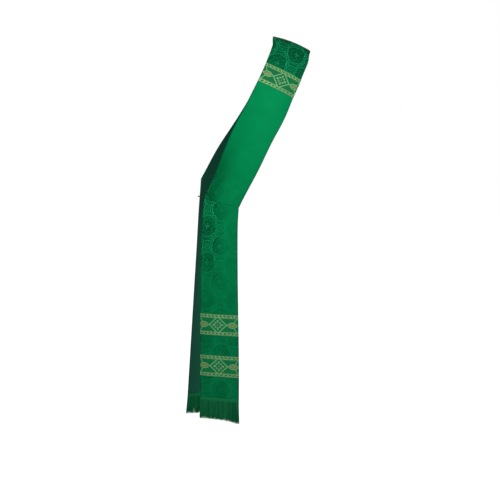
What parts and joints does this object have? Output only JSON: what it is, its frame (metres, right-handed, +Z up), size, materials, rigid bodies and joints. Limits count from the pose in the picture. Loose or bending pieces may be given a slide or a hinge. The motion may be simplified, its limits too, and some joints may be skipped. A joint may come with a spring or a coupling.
{
  "type": "clerical stole",
  "caption": "Green damask stole worn as a sash from the left shoulder to the right hip, with woven gold-green cross bands and dark green fringes",
  "frame": {"origin": "underside of the strip on the crest of the left shoulder, midway across the strip", "axes": "+Z up, -Y the front of the body, +X the wearer's left"},
  "size_m": [0.4078, 0.3427, 1.2559],
  "materials": {
    "green_silk": "satin damask with a soft sheen",
    "gold_green_braid": "woven braid with dull gold thread",
    "dark_green_fringe": "twisted thread, matt"
  },
  "bodies": {
    "root": {"front_sash": "green_silk", "front_fall": "green_silk", "back_sash": "green_silk", "back_fall": "green_silk", "shoulder_band": "gold_green_braid", "upper_hem_band": "gold_green_braid", "lower_hem_band": "gold_green_braid", "front_fringe": "dark_green_fringe", "back_fringe": "dark_green_fringe", "hip_link": "dark_green_fringe"}
  },
  "joints": []
}
